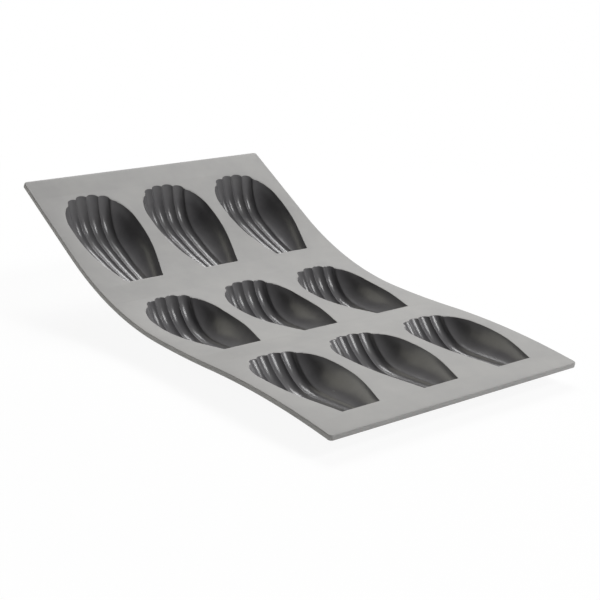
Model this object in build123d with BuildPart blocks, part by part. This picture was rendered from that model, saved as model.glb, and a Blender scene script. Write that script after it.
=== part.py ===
"""Flexible nine-cavity shell mould, standing on its front two rows of cups with the back row curled up.

Frame: X across the mould, +Y from its front edge to its back edge, +Z up. The origin is under the middle of
the mould, on the surface that it stands on. A place on the sheet is given by its distance along the bent sheet
from the front edge, and by its depth, square to the sheet, below the top face.
"""
import os
from math import atan2, cos, degrees, radians, sin, sqrt

from build123d import *

# Sheet
sheet_thickness = 3.0
corner_radius = 2.0
end_margin = 16.0
side_margin = 10.0

# Cavities, measured at the top face of the sheet
column_names = ("left", "centre", "right")
row_names = ("front", "middle", "back")
cavity_length = 77.5
cavity_width = 46.0
row_gap = 17.5
column_gap = 9.0
ridge_depth = 14.8
tip_wall_angle = 72.0

# Walls and joins
cup_wall = 2.0
ridge_cover_share = 1.35
strip_rim = 3.0
stand_cut = 0.5

# The shape that cuts a cavity: the height above the sheet to which its curved sides run, how far they spread on
# the way, how far the cut runs on past them, and the share of its length over which its slope is taken
side_lift = 2.0
side_spread = 0.3
cut_overrun = 3.0
probe_share = 0.01

# How near two sizes are to be the same
tolerance = 1e-6

# The bend of the sheet: share of its length, and its slope there in degrees
bend_shares = ((0.0, 12.0), (0.32, 1.6), (0.48, 5.7), (0.785, 33.0), (1.0, 33.5))

# Ridges between the flutes, from the long axis outwards: distance from it at the tip and at the wide end as
# shares of the half width, share of the ridge depth, and share of the cavity's length at which the ridge comes
# up to the sheet
ridge_shares = (
    (0.0, 0.0, 1.0, 0.955),
    (0.157, 0.352, 0.97, 0.94),
    (0.326, 0.665, 0.88, 0.893),
)

# A ridge along its run: share of the run, and share of its depth
depth_shares = (
    (-0.06, 0.43),
    (0.0, 0.49),
    (0.1, 0.60),
    (0.21, 0.70),
    (0.37, 0.845),
    (0.52, 0.95),
    (0.65, 1.0),
    (0.75, 0.94),
    (0.84, 0.74),
    (0.9, 0.53),
    (0.953, 0.28),
    (1.0, 0.0),
    (1.08, -0.5),
    (1.17, -1.05),
)

# The sides of a cavity: share of its length, share of the half width, and how far the side has risen as a share
# of the ridge depth. The sides rise out of the sheet at the wide end, as the ridges do
side_shares = (
    (-0.04, 0.485, 0.0),
    (0.06, 0.61, 0.0),
    (0.18, 0.765, 0.0),
    (0.32, 0.91, 0.0),
    (0.48, 0.99, 0.0),
    (0.62, 1.0, 0.0),
    (0.72, 0.98, 0.0),
    (0.79, 0.915, 0.02),
    (0.85, 0.86, 0.22),
    (0.91, 0.83, 0.55),
    (0.97, 0.82, 0.86),
    (1.03, 0.82, 1.15),
)

# How far the flutes bulge along a cavity: share of its length, and sag as a share of half a flute's width
flute_shares = ((-0.04, 0.45), (0.32, 0.50), (0.62, 0.52), (0.85, 0.60), (1.03, 0.62))
side_sag_share = 0.26

pitch_along = cavity_length + row_gap
pitch_across = cavity_width + column_gap
sheet_length = 2 * end_margin + (len(row_names) - 1) * pitch_along + cavity_length
sheet_width = 2 * side_margin + (len(column_names) - 1) * pitch_across + cavity_width
cut_top = side_lift + ridge_depth * side_shares[-1][-1] + cut_overrun


def blend_table(table, share):
    """Values of a table of shares at one share, in straight lines between its rows."""
    for low, high in zip(table, table[1:]):
        if share <= high[0]:
            break
    part = (share - low[0]) / (high[0] - low[0])
    return [a + part * (b - a) for a, b in zip(low[1:], high[1:])]


def curve_table(table, share):
    """Values of a table of shares at one share, on a smooth curve through its rows."""
    count = len(table)
    share = min(max(share, table[0][0]), table[-1][0])
    index = next(i for i in range(count - 1) if share <= table[i + 1][0])
    low, high = table[index], table[index + 1]
    before, after = table[max(index - 1, 0)], table[min(index + 2, count - 1)]
    step = high[0] - low[0]
    part = (share - low[0]) / step
    values = []
    for column in range(1, len(low)):
        start_slope = (high[column] - before[column]) / (high[0] - before[0]) * step
        end_slope = (after[column] - low[column]) / (after[0] - low[0]) * step
        rise = high[column] - low[column]
        values.append(
            low[column]
            + part * start_slope
            + part**2 * (3 * rise - 2 * start_slope - end_slope)
            + part**3 * (start_slope + end_slope - 2 * rise)
        )
    return values


def tip_line(row):
    """Distance along the sheet to the tip edge of a row's cavities."""
    return end_margin + row * pitch_along


# The bent sheet in profile


def slope(along, lean=0.0):
    """Slope of the sheet in degrees."""
    return blend_table(bend_shares, along / sheet_length)[0] - lean


def profile_point(along, depth, lean=0.0):
    """Place in the YZ plane of a point of the sheet, by arcs that meet in line."""
    y = z = 0.0
    for low, high in zip(bend_shares, bend_shares[1:]):
        start, end = low[0] * sheet_length, min(high[0] * sheet_length, along)
        if end <= start and start > 0:
            break
        first, last = radians(low[1] - lean), radians(slope(end, lean))
        if abs(last - first) < tolerance:
            y, z = y + (end - start) * cos(first), z + (end - start) * sin(first)
        else:
            radius = (end - start) / (last - first)
            y, z = y + radius * (sin(last) - sin(first)), z + radius * (cos(first) - cos(last))
    tilt = radians(slope(along, lean))
    return Vector(0, y + depth * sin(tilt), z - depth * cos(tilt))


def ridge_place(ridge, share):
    """Distance across from the long axis, and depth, of a ridge at a share of a cavity's length."""
    at_tip, at_wide_end, depth_share, end = ridge
    across = cavity_width / 2 * (at_tip + share * (at_wide_end - at_tip))
    return Vector(across, ridge_depth * depth_share * curve_table(depth_shares, share / end)[0])


def section_arcs(share, grow):
    """The arcs of a cavity's section, or of its cup's outside when grown: start, lowest point and end."""
    middle_ridge = ridge_shares[0]
    step = ridge_place(middle_ridge, share + probe_share) - ridge_place(middle_ridge, share)
    wall = grow * sqrt(1 + (step.Y / (probe_share * cavity_length)) ** 2)
    side, height = curve_table(side_shares, share)
    ends = [ridge_place(ridge, share) for ridge in ridge_shares]
    ends.append(Vector(cavity_width / 2 * side + side_spread, -side_lift - ridge_depth * height))
    grown = [end + Vector(0, wall * ridge_cover_share) for end in ends[:-1]] + [ends[-1] + Vector(grow, 0)]
    flute_share = curve_table(flute_shares, share)[0]
    arcs = []
    for number, (start, end) in enumerate(zip(ends, ends[1:])):
        chord = end - start
        sag = (flute_share if number < len(ends) - 2 else side_sag_share) * chord.length / 2
        lowest = (start + end) / 2 + Vector(-chord.Y, chord.X) / chord.length * (sag + wall)
        arcs.append((grown[number], lowest, grown[number + 1]))
    mirrored = [tuple(Vector(-point.X, point.Y) for point in reversed(arc)) for arc in reversed(arcs)]
    return mirrored + arcs


def lowest_place(row, lean=0.0):
    """The lowest point under a row's cups."""
    places = []
    for share, *_ in side_shares:
        deepest = max(point.Y for arc in section_arcs(share, cup_wall) for point in arc)
        places.append(profile_point(tip_line(row) + share * cavity_length, deepest, lean))
    return min(places, key=lambda place: place.Z)


# The mould leans so that the cups of its front two rows stand level
step = lowest_place(1) - lowest_place(0)
stand_lean = degrees(atan2(step.Z, step.Y))
floor_height = max(lowest_place(row, stand_lean).Z for row in (0, 1)) + stand_cut
back_edge = profile_point(sheet_length, sheet_thickness, stand_lean)
stand_offset = Vector(0, -back_edge.Y / 2, -floor_height)


def sheet_point(along, depth=0.0):
    """Place of a point of the sheet in the mould's own frame."""
    return profile_point(along, depth, stand_lean) + stand_offset


def cross_plane(along):
    """Plane square to the sheet: its X is across the mould and its Y is the depth."""
    tilt = radians(slope(along, stand_lean))
    return Plane(origin=sheet_point(along), x_dir=(1, 0, 0), z_dir=(0, cos(tilt), sin(tilt)))


def tip_plane(row, outset):
    """The steep wall at the tip of a row's cavities, moved out by an outset."""
    tilt = radians(slope(tip_line(row), stand_lean) + tip_wall_angle - 90)
    inwards = Vector(0, cos(tilt), sin(tilt))
    return Plane(origin=sheet_point(tip_line(row)) - inwards * outset, x_dir=(1, 0, 0), z_dir=inwards)


def arc_points(start, end, depth):
    """Ends and middles of the arcs that follow the sheet at one depth."""
    stops = [share * sheet_length for share, _ in bend_shares if start < share * sheet_length < end]
    stops = [start, *stops, end]
    arcs = [(low, (low + high) / 2, high) for low, high in zip(stops, stops[1:])]
    return [[sheet_point(along, depth) for along in arc] for arc in arcs]


def sheet_band(start, end, top, bottom, width):
    """Solid strip of the bent sheet between two places along it and two depths."""
    with BuildPart() as band:
        with BuildSketch(Plane.YZ):
            with BuildLine():
                for depth in (top, bottom):
                    for points in arc_points(start, end, depth):
                        low, middle, high = [(point.Y, point.Z) for point in points]
                        bow = (Vector(low) + Vector(high)) / 2 - Vector(middle)
                        if bow.length < tolerance:
                            Line(low, high)
                        else:
                            ThreePointArc(low, middle, high)
                for along in (start, end):
                    corners = [sheet_point(along, depth) for depth in (top, bottom)]
                    Line(*[(corner.Y, corner.Z) for corner in corners])
            make_face()
        extrude(amount=width / 2, both=True)
    return band.part


def cavity_space(row, grow):
    """The space of a cavity on the sheet's long axis, grown by a wall: four flutes between two plain sides."""
    with BuildPart() as space:
        for share, *_ in side_shares:
            arcs = section_arcs(share, grow)
            first, last = arcs[0][0], arcs[-1][-1]
            with BuildSketch(cross_plane(tip_line(row) + share * cavity_length)):
                with BuildLine():
                    for arc in arcs:
                        ThreePointArc(*arc)
                    Polyline(last, (last.X, -cut_top), (first.X, -cut_top), first)
                make_face()
        loft()
        split(bisect_by=tip_plane(row, grow), keep=Keep.TOP)
    return space.part


def column_place(column):
    """Move from the sheet's long axis to a column of cavities."""
    return Location(((column - (len(column_names) - 1) / 2) * pitch_across, 0, 0))


os.makedirs("parts", exist_ok=True)

# Where each row's stretch of the sheet starts and ends, and the flex strips between them
strip_ends = []
for row in range(len(row_names) - 1):
    strip_ends.append((tip_line(row) + cavity_length + strip_rim, tip_line(row + 1) - strip_rim))
row_starts = [0.0] + [end for _, end in strip_ends]
row_ends = [start for start, _ in strip_ends] + [sheet_length]

for row, row_name in enumerate(row_names):
    inner = cavity_space(row, 0.0)
    outer = cavity_space(row, cup_wall)
    cover_start, cover_end = max(tip_line(row) - row_gap, 0), min(tip_line(row) + pitch_along, sheet_length)
    above = sheet_band(cover_start, cover_end, -2 * cut_top, sheet_thickness, sheet_width)

    # Cup: a fluted shell that hangs from the underside of the sheet
    with BuildPart() as cup:
        add(outer)
        add(above, mode=Mode.SUBTRACT)
        add(inner, mode=Mode.SUBTRACT)
        split(bisect_by=Plane.XY, keep=Keep.TOP)
    for column, column_name in enumerate(column_names):
        placed = column_place(column) * cup.part
        placed.label = f"cup_{row_name}_{column_name}"
        export_step(placed, f"parts/{placed.label}.step")

    # Deck: the sheet round a row of cavities
    with BuildPart() as deck:
        add(sheet_band(row_starts[row], row_ends[row], 0.0, sheet_thickness, sheet_width))
        short_edges = deck.edges().filter_by(lambda edge: abs(edge.length - sheet_thickness) < tolerance)
        if row == 0:
            fillet(short_edges.sort_by(Axis.Y)[:2], corner_radius)
        if row == len(row_names) - 1:
            fillet(short_edges.sort_by(Axis.Y)[-2:], corner_radius)
        for column in range(len(column_names)):
            add(column_place(column) * inner, mode=Mode.SUBTRACT)
    deck.part.label = f"deck_{row_name}"
    export_step(deck.part, f"parts/{deck.part.label}.step")

# Flex strips: the plain sheet between the rows, where the mould bends
for (start, end), strip_name in zip(strip_ends, ("front", "back")):
    with BuildPart() as strip:
        add(sheet_band(start, end, 0.0, sheet_thickness, sheet_width))
    strip.part.label = f"flex_strip_{strip_name}"
    export_step(strip.part, f"parts/{strip.part.label}.step")
    hinge = sheet_point((start + end) / 2, sheet_thickness / 2)
    print(f"{strip.part.label}: bends about X through Y {hinge.Y:.3f}, Z {hinge.Z:.3f}")
print(f"lean {stand_lean:.3f}, offset Y {stand_offset.Y:.3f}, Z {stand_offset.Z:.3f}")
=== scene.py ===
"""Flexible nine-cavity shell mould in moulded silicone, standing with its back row curled up."""
from math import pi, radians, sin, tan

import bpy
import numpy as np
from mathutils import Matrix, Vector


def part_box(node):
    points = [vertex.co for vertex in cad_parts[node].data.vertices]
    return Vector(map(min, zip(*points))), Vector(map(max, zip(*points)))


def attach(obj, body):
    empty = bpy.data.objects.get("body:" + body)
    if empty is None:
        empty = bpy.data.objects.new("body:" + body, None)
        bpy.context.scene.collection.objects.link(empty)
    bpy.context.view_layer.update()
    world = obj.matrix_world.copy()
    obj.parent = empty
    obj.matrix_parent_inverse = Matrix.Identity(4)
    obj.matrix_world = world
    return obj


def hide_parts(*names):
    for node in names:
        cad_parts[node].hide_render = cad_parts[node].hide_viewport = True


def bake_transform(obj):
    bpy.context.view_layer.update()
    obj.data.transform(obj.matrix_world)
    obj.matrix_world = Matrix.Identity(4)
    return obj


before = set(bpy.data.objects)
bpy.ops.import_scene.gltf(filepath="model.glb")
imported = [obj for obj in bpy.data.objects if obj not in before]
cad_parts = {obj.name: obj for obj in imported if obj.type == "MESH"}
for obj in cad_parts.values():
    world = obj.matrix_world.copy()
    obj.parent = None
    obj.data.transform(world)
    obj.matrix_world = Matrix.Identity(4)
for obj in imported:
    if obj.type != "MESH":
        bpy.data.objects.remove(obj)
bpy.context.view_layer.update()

# Sizes in millimetres
MM = 0.001
column_names = ("left", "centre", "right")
row_names = ("front", "middle", "back")
sheet_thickness = 3.0
end_margin = 16.0
cavity_length = 77.5
cavity_width = 46.0
row_gap = 17.5
column_gap = 9.0
strip_rim = 3.0
corner_radius = 2.0
edge_bevel = 0.45
cup_wall = 2.0
ridge_depth = 14.8
ridge_cover_share = 1.35
tip_wall_angle = 72.0
side_lift = 2.0
side_spread = 0.3

# Degrees taken off each slope of the bend, so that the sheet stands on the cups of its front and middle rows
stand_lean = 3.902

# How sharp the ridges, the rim and the foot of the tip wall are, as the depth over which they round off
ridge_round = 0.35
rim_round = 0.35
tip_round = 2.5

# The flange of sheet that each cup carries round its rim: its width, where its round end starts as a share
# of the cavity's length, and how long that end is
flange_width = 0.7
flange_start_share = 0.7
flange_reach = 23.0

# Length over which the slope of a ridge is measured, as a share of the cavity's length
probe_share = 0.01

# Where a cavity's wide end is searched for, as shares of its length, and the rounds that the searches take
wide_end_shares = (0.7, 1.03)
halving_rounds = 30
flange_rounds = 20

# How near two places are to count as one, how near points are to be merged, how far the cutter of a hole
# stands out above and below the sheet, and the depth that stands for none
same_place = 0.01
merge_distance = 0.002
cut_overrun = 6.0
no_depth = -999.0

# Lengths into which a row's stretch of sheet and a flex strip are cut, so that they bend
row_step = 4.0
strip_step = 0.8

# Segments of the rounded corners and edges, and the angle in degrees up to which faces are shaded as one
corner_segments = 5
edge_segments = 3
smooth_angle = 60.0

# A cavity's grid: how many faces across and along, where the outer ridge and the shoulder lie on it, how
# strongly its lines gather at the rim, the tip and the wide end, how late they turn to the shoulder's
# outline, and how near two of them are to count as one
faces_across = 144
faces_along = 120
outer_line = 0.5
shoulder_share = 0.8
rim_gather = 1.5
tip_gather = 1.5
wide_end_gather = 1.3
shoulder_turn = 4
same_line = 1e-6

# The bend: share of the sheet's length, and its slope there in degrees
bend_shares = ((0.0, 12.0), (0.32, 1.6), (0.48, 5.7), (0.785, 33.0), (1.0, 33.5))

# Ridges between the flutes, from the long axis outwards: distance from it at the tip and at the wide end as
# shares of the half width, share of the ridge depth, and share of the cavity's length at which the ridge
# comes up to the sheet
ridge_shares = (
    (0.0, 0.0, 1.0, 0.955),
    (0.157, 0.352, 0.97, 0.94),
    (0.326, 0.665, 0.88, 0.893),
)

# A ridge along its run: share of the run, and share of its depth
depth_shares = (
    (-0.06, 0.43),
    (0.0, 0.49),
    (0.1, 0.60),
    (0.21, 0.70),
    (0.37, 0.845),
    (0.52, 0.95),
    (0.65, 1.0),
    (0.75, 0.94),
    (0.84, 0.74),
    (0.9, 0.53),
    (0.953, 0.28),
    (1.0, 0.0),
    (1.08, -0.5),
    (1.17, -1.05),
)

# The sides of a cavity: share of its length, share of the half width, and how far the side has risen as a
# share of the ridge depth
side_shares = (
    (-0.04, 0.485, 0.0),
    (0.06, 0.61, 0.0),
    (0.18, 0.765, 0.0),
    (0.32, 0.91, 0.0),
    (0.48, 0.99, 0.0),
    (0.62, 1.0, 0.0),
    (0.72, 0.98, 0.0),
    (0.79, 0.915, 0.02),
    (0.85, 0.86, 0.22),
    (0.91, 0.83, 0.55),
    (0.97, 0.82, 0.86),
    (1.03, 0.82, 1.15),
)

# How far the flutes bulge along a cavity: share of its length, and sag as a share of half a flute's width
flute_shares = ((-0.04, 0.45), (0.32, 0.50), (0.62, 0.52), (0.85, 0.60), (1.03, 0.62))
side_sag_share = 0.26

# Number of the outer ridge, counted from the long axis, and of the plain side beyond it
outer_ridge = len(ridge_shares) - 1
pitch_along = cavity_length + row_gap
pitch_across = cavity_width + column_gap
sheet_length = 2 * end_margin + (len(row_names) - 1) * pitch_along + cavity_length
sheet_width = (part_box("deck_front")[1][0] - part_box("deck_front")[0][0]) / MM


# The bent sheet


def bent_place(across, along, depth):
    """Places in metres of points given across the sheet, along it and below its top face."""
    across, along, depth = np.broadcast_arrays(across, along, depth)
    y, z = np.zeros(along.shape), np.zeros(along.shape)
    stations = [(share * sheet_length, radians(angle - stand_lean)) for share, angle in bend_shares]
    tilt = np.interp(along, *zip(*stations))
    for (start, first), (end, last) in zip(stations, stations[1:]):
        low = -np.inf if start == 0 else start
        reach = np.clip(along, low, end) - start
        turn = (last - first) / (end - start) * reach
        chord = reach * np.sinc(turn / 2 / np.pi)
        y = y + chord * np.cos(first + turn / 2)
        z = z + chord * np.sin(first + turn / 2)
    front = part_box("deck_front")
    edge_y, edge_z = front[0][1] / MM, front[0][2] / MM + sheet_thickness * np.cos(stations[0][1])
    places = np.stack([across, y + edge_y + depth * np.sin(tilt), z + edge_z - depth * np.cos(tilt)], -1)
    return places * MM


# The shape of a cavity, with its long axis along the sheet and its tip edge at zero


def smooth_table(table, share):
    """Values of a table of shares by a curve through its rows."""
    rows = np.array(table)
    at, values = rows[:, 0], rows[:, 1:]
    slopes = np.gradient(values, at, axis=0)
    share = np.clip(share, at[0], at[-1])
    index = np.clip(np.searchsorted(at, share) - 1, 0, len(at) - 2)
    step = (at[index + 1] - at[index])[..., None]
    part = ((share - at[index])[..., None]) / step
    low, high = values[index], values[index + 1]
    rise = part * part * (3 - 2 * part)
    start_slope = part * (1 - part) ** 2 * step * slopes[index]
    end_slope = -part * part * (1 - part) * step * slopes[index + 1]
    return np.moveaxis(low + rise * (high - low) + start_slope + end_slope, -1, 0)


def soft_max(a, b, width):
    """The larger of two depths, rounded where they cross."""
    mix = np.maximum(width - np.abs(a - b), 0) / width
    return np.maximum(a, b) + mix * mix * width / 4


def ridge_at(ridge, along):
    """Distance of a ridge from the cavity's long axis, and its depth."""
    at_tip, at_wide_end, depth_share, end = ridge_shares[ridge]
    share = np.asarray(along) / cavity_length
    across = cavity_width / 2 * (at_tip + share * (at_wide_end - at_tip))
    return np.stack([across, ridge_depth * depth_share * smooth_table(depth_shares, share / end)[0]])


def flute_circle(flute, along, grow):
    """Centre and radius of a flute's arc in a cavity's section; the last flute is the plain side."""
    share = np.asarray(along) / cavity_length
    probe = probe_share * cavity_length
    rise = (ridge_at(0, along + probe) - ridge_at(0, along))[1] / probe
    wall = grow * np.sqrt(1 + rise**2)
    start = ridge_at(flute, along)
    cover = np.stack([0 * wall, wall * ridge_cover_share])
    if flute < outer_ridge:
        end, end_cover = ridge_at(flute + 1, along), cover
        sag_share = smooth_table(flute_shares, share)[0]
    else:
        side, rise_share = smooth_table(side_shares, share)
        end = np.stack([cavity_width / 2 * side + side_spread, -side_lift - ridge_depth * rise_share])
        end_cover = np.stack([grow + 0 * wall, 0 * wall])
        sag_share = side_sag_share
    chord = end - start
    length = np.hypot(*chord)
    lowest = (start + end) / 2 + np.stack([-chord[1], chord[0]]) / length * (sag_share * length / 2 + wall)
    return circle_through(start + cover, lowest, end + end_cover)


def circle_through(a, b, c):
    """Centre and radius of the circle through three points."""
    ab, ac = b - a, c - a
    cross = 2 * (ab[0] * ac[1] - ab[1] * ac[0])
    ab2, ac2 = (ab**2).sum(0), (ac**2).sum(0)
    centre = a + np.stack([ac[1] * ab2 - ab[1] * ac2, ab[0] * ac2 - ac[0] * ab2]) / cross
    return centre[0], centre[1], np.hypot(*(centre - a))


def depth_at(across, along, grow):
    """Depth of a cavity below the sheet's top face, or of the outside of its cup when grown by the wall."""
    size = np.abs(across)
    deepest = None
    for flute in range(outer_ridge + 1):
        middle, height, radius = flute_circle(flute, along, grow)
        # The two flutes beside the long axis meet on it, so both of them count there
        for place in (size, -size) if flute == 0 else (size,):
            inside = radius**2 - (place - middle) ** 2
            arc = np.where(inside > 0, height + np.sqrt(np.maximum(inside, 0)), no_depth)
            deepest = arc if deepest is None else soft_max(deepest, arc, ridge_round)
    wall = tip_wall_depth(along, grow)
    return -soft_max(-deepest, -wall, tip_round)


def tip_wall_depth(along, grow):
    """Depth of the steep wall at the tip."""
    return (along + grow / sin(radians(tip_wall_angle))) * tan(radians(tip_wall_angle))


def rim_half_width(along, level, grow):
    """Half width of a cavity at a level."""
    middle, height, radius = flute_circle(outer_ridge, along, grow)
    return middle + np.sqrt(np.maximum(radius**2 - np.maximum(level - height, 0) ** 2, 0))


def line_across(order, along):
    """Distance from the long axis of a line that keeps its order among the ridges, which is 0 on the axis."""
    inner, outer = ridge_at(1, along)[0], ridge_at(outer_ridge, along)[0]
    return np.where(order < 1, order * inner, inner + (order - 1) * (outer - inner))


def line_end(order, level, grow):
    """Where such a line comes up to a level at the wide end, found by halving."""
    low, high = [np.full(np.shape(order), share * cavity_length) for share in wide_end_shares]
    for _ in range(halving_rounds):
        middle = (low + high) / 2
        deep = depth_at(line_across(order, middle), middle, grow) > level
        low, high = np.where(deep, middle, low), np.where(deep, high, middle)
    return (low + high) / 2


def flange_end(order):
    """Where such a line reaches the flange's outline at the wide end, found by closing in on it."""
    start = flange_start_share * cavity_length
    along = np.full(np.shape(order), start)
    for _ in range(flange_rounds):
        ratio = line_across(order, along) / flange_half_width(start)
        along = start + flange_reach * np.sqrt(1 - ratio**2)
    return along


def flange_half_width(along):
    """Half width of the flange's outline."""
    start = flange_start_share * cavity_length
    beyond = np.clip((np.asarray(along) - start) / flange_reach, 0, 1)
    return (rim_half_width(np.minimum(along, start), 0.0, 0.0) + flange_width) * np.sqrt(1 - beyond**2)


def plan_place(u, v, level, grow, on_flange=False):
    """Place across and along of the point (u, v) of a cavity: u is -1 to 1 across, and v is 0 at the tip."""
    u, v = np.broadcast_arrays(np.asarray(u, float), np.asarray(v, float))
    size = np.abs(u)
    tip = level / tan(radians(tip_wall_angle)) - grow / sin(radians(tip_wall_angle))
    if on_flange:
        tip = -flange_width

    def end_of(order):
        return flange_end(order) if on_flange else line_end(order, level, grow)

    def half_width(along):
        return flange_half_width(along) if on_flange else rim_half_width(along, level, grow)

    order = np.minimum(size / outer_line, 1) * outer_ridge
    along = tip + v * (end_of(order) - tip)
    across = line_across(order, along)

    # Outside the outer ridge the lines spread from the ridge to the side of the rim
    outer_order = np.array(float(outer_ridge))
    part = np.maximum(size - outer_line, 0) / (1 - outer_line)
    ridge_end, shoulder = float(end_of(outer_order)), shoulder_share * cavity_length
    ridge_along = tip + v * (ridge_end - tip)
    side_along = tip + v * (shoulder - tip)
    ridge = np.stack([line_across(outer_order, ridge_along), ridge_along])
    side = np.stack([half_width(side_along), side_along])
    spread = (1 - part) * ridge + part * side

    # Towards the wide end they bulge with the rim, from the end of the ridge round to the shoulder
    arc_along = ridge_end + part * (shoulder - ridge_end)
    ridge_top = np.array([line_across(outer_order, np.array(ridge_end)), ridge_end])
    ridge_rim = np.array([half_width(np.array(ridge_end)), ridge_end])
    shoulder_rim = np.array([half_width(np.array(shoulder)), shoulder])
    pad = (slice(None),) + (None,) * part.ndim
    arc = np.stack([half_width(arc_along), arc_along]) + (1 - part) * (ridge_top - ridge_rim)[pad]
    chord = (1 - part) * ridge_top[pad] + part * shoulder_rim[pad]
    spread = spread + v**shoulder_turn * (arc - chord)
    outside = size > outer_line
    return np.sign(u) * np.where(outside, spread[0], across), np.where(outside, spread[1], along)


def cluster_across(raw):
    """Moves grid lines across towards the ridges and the rim."""
    size, step = np.abs(raw), outer_line / outer_ridge
    flute = np.minimum(np.floor(size / step), outer_ridge - 1)
    part = np.clip(size / step - flute, 0, 1)
    inner = step * (flute + (1 - np.cos(np.pi * part)) / 2)
    outer = np.maximum(size - outer_line, 0) / (1 - outer_line)
    rim = outer_line + (1 - outer_line) * (1 - (1 - outer) ** rim_gather)
    return np.sign(raw) * np.where(size >= outer_line - same_line, rim, inner)


def cluster_along(raw):
    """Moves grid lines along towards the tip wall and the wide end."""
    return 1 - (1 - raw**tip_gather) ** wide_end_gather


# Mesh work


def make_active(piece):
    bpy.ops.object.select_all(action="DESELECT")
    piece.select_set(True)
    bpy.context.view_layer.objects.active = piece


def in_edit_mode(piece, *steps):
    """Runs edit mode steps on one piece."""
    make_active(piece)
    bpy.ops.object.mode_set(mode="EDIT")
    for step in steps:
        step()
    bpy.ops.object.mode_set(mode="OBJECT")


def points_of(piece):
    points = np.zeros(len(piece.data.vertices) * 3)
    piece.data.vertices.foreach_get("co", points)
    return points.reshape(-1, 3)


def move_points(piece, points):
    piece.data.vertices.foreach_set("co", np.asarray(points, float).ravel())
    piece.data.update()


def attribute_of(piece, name):
    values = np.zeros(len(piece.data.vertices))
    piece.data.attributes[name].data.foreach_get("value", values)
    return values


def bend_piece(piece, shift=0.0):
    """Bends a piece modelled flat, in millimetres, on to the sheet, and flattens it where it rests."""
    flat = points_of(piece)
    places = bent_place(flat[:, 0] + shift, flat[:, 1], -flat[:, 2])
    places[:, 2] = np.maximum(places[:, 2], 0)
    move_points(piece, places)


def flat_grid(name):
    """A grid with its lines gathered where the cavity is sharpest, which remembers its place as (u, v)."""
    bpy.ops.mesh.primitive_grid_add(x_subdivisions=faces_across, y_subdivisions=faces_along, size=2)
    grid = bpy.context.object
    grid.name = name
    for material in (matt, cavity_gloss_and_painted_shade):
        grid.data.materials.append(material)
    points = points_of(grid)
    for key, values in (("u", cluster_across(points[:, 0])), ("v", cluster_along((points[:, 1] + 1) / 2))):
        grid.data.attributes.new(key, "FLOAT", "POINT").data.foreach_set("value", values)
    return grid


def shape_shell(grid, level, grow):
    """Gives a grid the shape of a cavity's inside, or of its cup's outside."""
    u, v = attribute_of(grid, "u"), attribute_of(grid, "v")
    across, along = plan_place(u, v, level, grow)
    border = (np.abs(u) > 1 - same_line) | (v < same_line) | (v > 1 - same_line)
    depth = np.where(border, level, depth_at(across, along, grow))
    # The inside rounds off at its rim, and the outside stays below the sheet
    depth = soft_max(depth, 0 * depth, rim_round) if grow == 0 else np.maximum(depth, level)
    move_points(grid, np.stack([across, along, -depth], -1))


def extrude_border(piece, level, grow, depth, on_flange=False):
    """Extrudes the open border of a piece to the rim's outline at a level, at one depth."""
    before = len(piece.data.vertices)
    in_edit_mode(
        piece,
        lambda: bpy.ops.mesh.select_mode(type="EDGE"),
        lambda: bpy.ops.mesh.select_all(action="DESELECT"),
        lambda: bpy.ops.mesh.select_non_manifold(
            extend=False, use_wire=False, use_multi_face=False, use_non_contiguous=False, use_verts=False,
        ),
        lambda: bpy.ops.mesh.extrude_edges_move(),
    )
    points = points_of(piece)
    u, v = attribute_of(piece, "u")[before:], attribute_of(piece, "v")[before:]
    across, along = plan_place(u, v, level, grow, on_flange)
    points[before:] = np.stack([across, along, np.full(len(u), -depth)], -1)
    move_points(piece, points)


def model_cup(row):
    """One cup of a row, modelled flat: the cavity, a flange of sheet round it and the cup's outside."""
    cup = flat_grid("cup")
    shape_shell(cup, 0.0, 0.0)
    # The cavity is glossy and painted darker, as painted shade, up to its rim, and all the rest is matt
    for face in cup.data.polygons:
        face.material_index = int(-face.center.z > rim_round / 2)
    cavity_faces = len(cup.data.polygons)
    rim_level = -rim_round / 2
    extrude_border(cup, rim_level, 0.0, soft_max(rim_level, 0.0, rim_round))
    extrude_border(cup, -rim_round, 0.0, 0.0)
    extrude_border(cup, 0.0, 0.0, 0.0, on_flange=True)
    extrude_border(cup, 0.0, 0.0, sheet_thickness, on_flange=True)
    extrude_border(cup, sheet_thickness, cup_wall, sheet_thickness)
    for face in cup.data.polygons[cavity_faces:]:
        face.material_index = 0
    outside = flat_grid("outside")
    shape_shell(outside, sheet_thickness, cup_wall)
    make_active(cup)
    outside.select_set(True)
    bpy.ops.object.join()
    in_edit_mode(
        cup,
        lambda: bpy.ops.mesh.select_all(action="SELECT"),
        lambda: bpy.ops.mesh.remove_doubles(threshold=merge_distance),
        lambda: bpy.ops.mesh.normals_make_consistent(inside=False),
    )
    points = points_of(cup)
    points[:, 1] += end_margin + row * pitch_along
    move_points(cup, points)
    return cup


def model_block(name, start, end):
    """A plain stretch of sheet, modelled flat."""
    bpy.ops.mesh.primitive_cube_add(size=1)
    block = bpy.context.object
    block.name = name
    points = points_of(block)
    points *= (sheet_width, end - start, sheet_thickness)
    points += (0, (start + end) / 2, -sheet_thickness / 2)
    move_points(block, points)
    return block


def bevel_edges(piece, chosen, width, segments):
    """Bevels the edges of a flat block that a test of their two ends picks."""
    points = points_of(piece)
    corners = piece.data.vertices
    for elements in (piece.data.edges, piece.data.polygons, corners):
        for element in elements:
            element.select = False
    for edge in piece.data.edges:
        first, last = edge.vertices
        if chosen(points[first], points[last]):
            edge.select = corners[first].select = corners[last].select = True
    in_edit_mode(
        piece,
        lambda: bpy.ops.mesh.select_mode(type="EDGE"),
        lambda: bpy.ops.mesh.bevel(offset=width, segments=segments, affect="EDGES"),
    )


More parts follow.
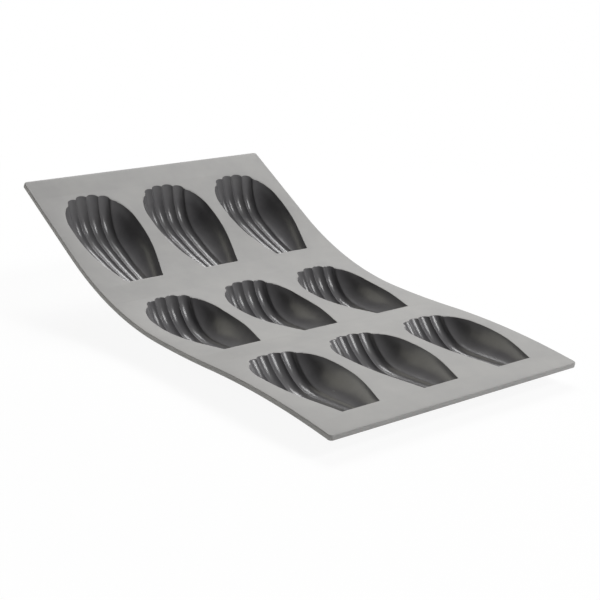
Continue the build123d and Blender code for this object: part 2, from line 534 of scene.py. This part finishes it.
def cut_across(piece, start, end, step):
    """Cuts a flat piece across at even steps."""
    count = int(round((end - start) / step))
    for place in np.linspace(start, end, count + 1)[1:-1]:
        in_edit_mode(
            piece,
            lambda: bpy.ops.mesh.select_all(action="SELECT"),
            lambda: bpy.ops.mesh.bisect(plane_co=(0, place, 0), plane_no=(0, 1, 0)),
        )


def model_stretch(name, start, end, step, row=None):
    """A stretch of the sheet with its outer edges rounded, and with holes where a row of cups goes."""
    block = model_block(name, start, end)
    outer_ends = [place for place, is_end in ((start, start == 0), (end, end == sheet_length)) if is_end]

    def at_outer_end(point):
        return any(abs(point[1] - place) < same_place for place in outer_ends)

    def at_corner(a, b):
        """Whether an edge stands upright at a corner of the sheet."""
        upright = abs(a[0] - b[0]) < same_place and abs(a[2] - b[2]) > sheet_thickness / 2
        return upright and at_outer_end(a) and at_outer_end(b)

    def on_outline(a, b):
        """Whether an edge runs round the sheet's outline at its top or bottom face."""
        level = abs(a[2] - b[2]) < same_place
        joins_strip = abs(a[1] - b[1]) < same_place and not at_outer_end(a)
        return level and not joins_strip

    if outer_ends:
        bevel_edges(block, at_corner, corner_radius, corner_segments)
    bevel_edges(block, on_outline, edge_bevel, edge_segments)
    cut_across(block, start, end, step)
    if row is not None:
        for column in range(len(column_names)):
            cut_hole(block, row, column)
    return block


def cut_hole(block, row, column):
    """Cuts the hole that takes a cup's flange."""
    steps_u = cluster_across(np.linspace(-1, 1, faces_across + 1))
    steps_v = cluster_along(np.linspace(0, 1, faces_along + 1))
    loop = [(u, 0.0) for u in steps_u] + [(1.0, v) for v in steps_v[1:]]
    loop += [(u, 1.0) for u in steps_u[::-1][1:]] + [(-1.0, v) for v in steps_v[::-1][1:-1]]
    u, v = np.array(loop).T
    across, along = plan_place(u, v, 0.0, 0.0, on_flange=True)
    across = across + (column - 1) * pitch_across
    along = along + end_margin + row * pitch_along
    bpy.ops.mesh.primitive_circle_add(vertices=len(loop), fill_type="NGON")
    cutter = bpy.context.object
    move_points(cutter, np.stack([across, along, np.full(len(u), cut_overrun)], -1))
    fall = (0, 0, -sheet_thickness - 2 * cut_overrun)
    in_edit_mode(
        cutter,
        lambda: bpy.ops.mesh.select_all(action="SELECT"),
        lambda: bpy.ops.mesh.extrude_region_move(TRANSFORM_OT_translate={"value": fall}),
        lambda: bpy.ops.mesh.select_all(action="SELECT"),
        lambda: bpy.ops.mesh.normals_make_consistent(inside=False),
    )
    make_active(block)
    cut = block.modifiers.new("hole", "BOOLEAN")
    cut.object, cut.operation, cut.solver = cutter, "DIFFERENCE", "EXACT"
    bpy.ops.object.modifier_apply(modifier=cut.name)
    bpy.data.objects.remove(cutter)


def finish_piece(piece, name, node):
    """Names a piece, shades it smooth, and hides the CAD node that it stands for."""
    piece.name = name
    if not piece.data.materials:
        piece.data.materials.append(matt)
    make_active(piece)
    bpy.ops.object.shade_smooth_by_angle(angle=radians(smooth_angle))
    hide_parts(node)


# Materials

# Marks to a millimetre: the sheet's grain lies every 0.36 mm and its mottle every 22 mm, and the cups' wear
# every 11 mm. The grain's depth is in millimetres.
grain_per_mm = 2.8
mottle_per_mm = 0.045
wear_per_mm = 0.09
grain_depth = 0.2

# The two tones of each mottle, with the strength of the mottle at which each is reached
sheet_tones = ((0.3, "#A09F9E"), (0.7, "#A8A7A5"))
# The cups' tones are darker than the sheet's as painted shade inside the cavities; only their mottle is the
# silicone's own tone
cup_tones_painted_shade = ((0.3, "#646365"), (0.7, "#6C6B6C"))

# Typical of silicone rubber
silicone_ior = 1.41


def colour(code):
    """Linear colour of an sRGB hex value."""
    parts = [int(code[place:place + 2], 16) / 255 for place in (1, 3, 5)]
    return [part / 12.92 if part <= 0.04045 else ((part + 0.055) / 1.055) ** 2.4 for part in parts] + [1.0]


def node_in(tree, kind, inputs=None, **settings):
    """Adds a node with its settings; an input is a value, or a link from another node's output."""
    node = tree.nodes.new(kind)
    for key, value in settings.items():
        setattr(node, key, value)
    for key, value in (inputs or {}).items():
        if isinstance(value, bpy.types.NodeSocket):
            tree.links.new(value, node.inputs[key])
        else:
            node.inputs[key].default_value = value
    return node


def new_material(name):
    material = bpy.data.materials.new(name)
    material.use_nodes = True
    material.node_tree.nodes.clear()
    return material, material.node_tree


def mottled(tree, place, marks_per_mm, roughness, tones):
    """A faint mottle of two tones: its strength, and its colour."""
    mottle = node_in(tree, "ShaderNodeTexNoise", {
        "Vector": place, "Scale": marks_per_mm / MM, "Detail": 3.0, "Roughness": roughness,
    })
    tone = node_in(tree, "ShaderNodeValToRGB", {"Fac": mottle.outputs["Fac"]})
    for element, (strength, code) in zip(tone.color_ramp.elements, tones):
        element.position, element.color = strength, colour(code)
    return mottle.outputs["Fac"], tone.outputs["Color"]


def sheet_silicone():
    """Platinum silicone moulded against a spark-textured tool: matt, even, light grey, faintly mottled."""
    material, tree = new_material("silicone_matt_sheet")
    place = node_in(tree, "ShaderNodeTexCoord").outputs["Object"]
    _, tone = mottled(tree, place, mottle_per_mm, 0.6, sheet_tones)
    # The spark texture is a fine grain
    grain = node_in(tree, "ShaderNodeTexNoise", {"Vector": place, "Scale": grain_per_mm / MM, "Detail": 2.0})
    bump = node_in(tree, "ShaderNodeBump", {
        "Height": grain.outputs["Fac"], "Strength": 0.12, "Distance": grain_depth * MM,
    })
    shader = node_in(tree, "ShaderNodeBsdfPrincipled", {
        "Base Color": tone, "Normal": bump.outputs["Normal"],
        "Roughness": 0.6, "IOR": silicone_ior, "Specular IOR Level": 0.3,
    })
    node_in(tree, "ShaderNodeOutputMaterial", {"Surface": shader.outputs["BSDF"]})
    return material


def cup_silicone_painted_shade():
    """The same silicone moulded against polished steel: smooth and glossy, so that cakes let go, and painted
    darker than the sheet as painted shade inside the cavities.
    """
    material, tree = new_material("silicone_gloss_cup_painted_shade")
    place = node_in(tree, "ShaderNodeTexCoord").outputs["Object"]
    # The darker tones paint the shade in the cavities
    mottle, tone = mottled(tree, place, wear_per_mm, 0.5, cup_tones_painted_shade)
    wear = node_in(tree, "ShaderNodeMapRange", {"Value": mottle, "To Min": 0.23, "To Max": 0.29})
    shader = node_in(tree, "ShaderNodeBsdfPrincipled", {
        "Base Color": tone, "Roughness": wear.outputs["Result"], "IOR": silicone_ior,
    })
    node_in(tree, "ShaderNodeOutputMaterial", {"Surface": shader.outputs["BSDF"]})
    return material


# The mould
matt, cavity_gloss_and_painted_shade = sheet_silicone(), cup_silicone_painted_shade()
tip_lines = [end_margin + row * pitch_along for row in range(len(row_names))]
strip_ends = [
    (low + cavity_length + strip_rim, high - strip_rim)
    for low, high in zip(tip_lines, tip_lines[1:])
]
row_starts = [0.0] + [end for _, end in strip_ends]
row_ends = [start for start, _ in strip_ends] + [sheet_length]

for row, row_name in enumerate(row_names):
    body = f"{row_name}_row"
    cup = model_cup(row)
    for column, column_name in enumerate(column_names):
        name = f"cup_{row_name}_{column_name}"
        piece = cup.copy()
        piece.data = cup.data.copy()
        bpy.context.scene.collection.objects.link(piece)
        bend_piece(piece, (column - 1) * pitch_across)
        finish_piece(piece, f"silicone_{name}", name)
        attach(piece, body)
    bpy.data.objects.remove(cup)
    deck = model_stretch("deck", row_starts[row], row_ends[row], row_step, row)
    bend_piece(deck)
    finish_piece(deck, f"silicone_deck_{row_name}", f"deck_{row_name}")
    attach(deck, body)

for (start, end), strip_name in zip(strip_ends, ("front", "back")):
    strip = model_stretch("strip", start, end, strip_step)
    bend_piece(strip)
    finish_piece(strip, f"silicone_flex_strip_{strip_name}", f"flex_strip_{strip_name}")
    first, last = [Vector(bent_place(0.0, along, sheet_thickness / 2)) for along in (start, end)]
    if strip_name == "front":
        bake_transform(strip)
    else:
        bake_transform(strip)


# Floor, light and camera

# The floor: its size and the distances between which it fades to plain white, in metres, and how white it
# is under the mould
floor_size = 20
floor_fade_start, floor_fade_end = 0.2, 0.5
floor_white_share = 0.92

# The surroundings: their strength as light on the mould, and the heights, as shares of straight up, between
# which a mirror image of them falls from plain white to that strength
fill_light = 0.06
mirror_fade_start_share, mirror_fade_end_share = 0.2, 0.5

# Square lamps, all at one distance in metres: name, direction, size in metres, radiance and tint
lamp_distance = 3.0
soft_boxes = (
    ("front", (0.5, -0.5, 0.7), 0.9, 18.0, "#FFFFFF"),
    ("back", (0.42, 0.47, 0.78), 1.5, 9.5, "#FFFFFF"),
    ("backdrop", (-0.42, 0.8, 0.38), 1.7, 1.6, "#FFFCEC"),
)

# The camera: its place in metres, its turn in degrees, and its lens and sensor in millimetres
camera_place = (-0.48313, -0.58178, 0.27086)
camera_turn = (71.825, -2.5, -39.585)
camera_lens = 83.08
camera_sensor = 36.0


def soft_box(name, direction, size, radiance, tint):
    """A square lamp that faces the mould from a direction; its power follows from its size and radiance."""
    lamp = bpy.data.lights.new(name, "AREA")
    lamp.size, lamp.energy, lamp.color = size, radiance * pi * size**2, colour(tint)[:3]
    holder = bpy.data.objects.new(name, lamp)
    holder.location = Vector(direction).normalized() * lamp_distance
    holder.rotation_euler = (-holder.location).to_track_quat("-Z", "Y").to_euler()
    bpy.context.scene.collection.objects.link(holder)


def seen_as_white(tree, mirrored=1.0):
    """1 for the rays that see the plain white surroundings, and 0 for those that carry light."""
    path = node_in(tree, "ShaderNodeLightPath")
    seen = path.outputs["Is Camera Ray"]
    for name in ("Is Glossy Ray", "Is Transmission Ray"):
        share = node_in(tree, "ShaderNodeMath", {0: path.outputs[name], 1: mirrored}, operation="MULTIPLY")
        seen = node_in(tree, "ShaderNodeMath", {0: seen, 1: share.outputs[0]}, operation="MAXIMUM").outputs[0]
    return seen


def pale_floor():
    """A white floor that shows the mould's shadow faintly, and fades to plain white away from it."""
    bpy.ops.mesh.primitive_plane_add(size=floor_size)
    floor = bpy.context.object
    floor.name = "floor"
    material, tree = new_material("pale_floor")
    place = node_in(tree, "ShaderNodeTexCoord").outputs["Object"]
    distance = node_in(tree, "ShaderNodeVectorMath", {0: place}, operation="LENGTH").outputs["Value"]
    white = node_in(tree, "ShaderNodeMapRange", {
        "Value": distance, "From Min": floor_fade_start, "From Max": floor_fade_end,
        "To Min": floor_white_share, "To Max": 1.0,
    }).outputs["Result"]
    share = node_in(tree, "ShaderNodeMath", {0: white, 1: seen_as_white(tree)}, operation="MULTIPLY")
    shader = node_in(tree, "ShaderNodeBsdfDiffuse", {"Color": colour("#FAFAFA")})
    glow = node_in(tree, "ShaderNodeEmission", {"Color": colour("#FFFFFF"), "Strength": 1.0})
    mix = node_in(tree, "ShaderNodeMixShader", {
        0: share.outputs[0], 1: shader.outputs[0], 2: glow.outputs[0],
    })
    node_in(tree, "ShaderNodeOutputMaterial", {"Surface": mix.outputs[0]})
    floor.data.materials.append(material)


def studio_world():
    """Plain white surroundings, which light the mould more dimly than they look."""
    world = bpy.data.worlds.new("studio")
    bpy.context.scene.world = world
    world.use_nodes = True
    tree = world.node_tree
    tree.nodes.clear()
    direction = node_in(tree, "ShaderNodeTexCoord").outputs["Generated"]
    height = node_in(tree, "ShaderNodeSeparateXYZ", {"Vector": direction}).outputs["Z"]
    mirrored = node_in(tree, "ShaderNodeMapRange", {
        "Value": height, "From Min": mirror_fade_start_share, "From Max": mirror_fade_end_share,
        "To Min": 1.0, "To Max": 0.0,
    }).outputs["Result"]
    strength = node_in(tree, "ShaderNodeMapRange", {
        "Value": seen_as_white(tree, mirrored), "To Min": fill_light, "To Max": 1.0,
    }).outputs["Result"]
    light = node_in(tree, "ShaderNodeBackground", {"Color": colour("#FFFFFF"), "Strength": strength})
    node_in(tree, "ShaderNodeOutputWorld", {"Surface": light.outputs["Background"]})


pale_floor()
studio_world()
for box in soft_boxes:
    soft_box(*box)

camera_data = bpy.data.cameras.new("camera")
camera_data.lens = camera_lens
camera_data.sensor_width = camera_sensor
camera = bpy.data.objects.new("camera", camera_data)
camera.location = camera_place
camera.rotation_euler = [radians(angle) for angle in camera_turn]
bpy.context.scene.collection.objects.link(camera)
bpy.context.scene.camera = camera

bpy.context.scene.view_settings.view_transform = "Standard"
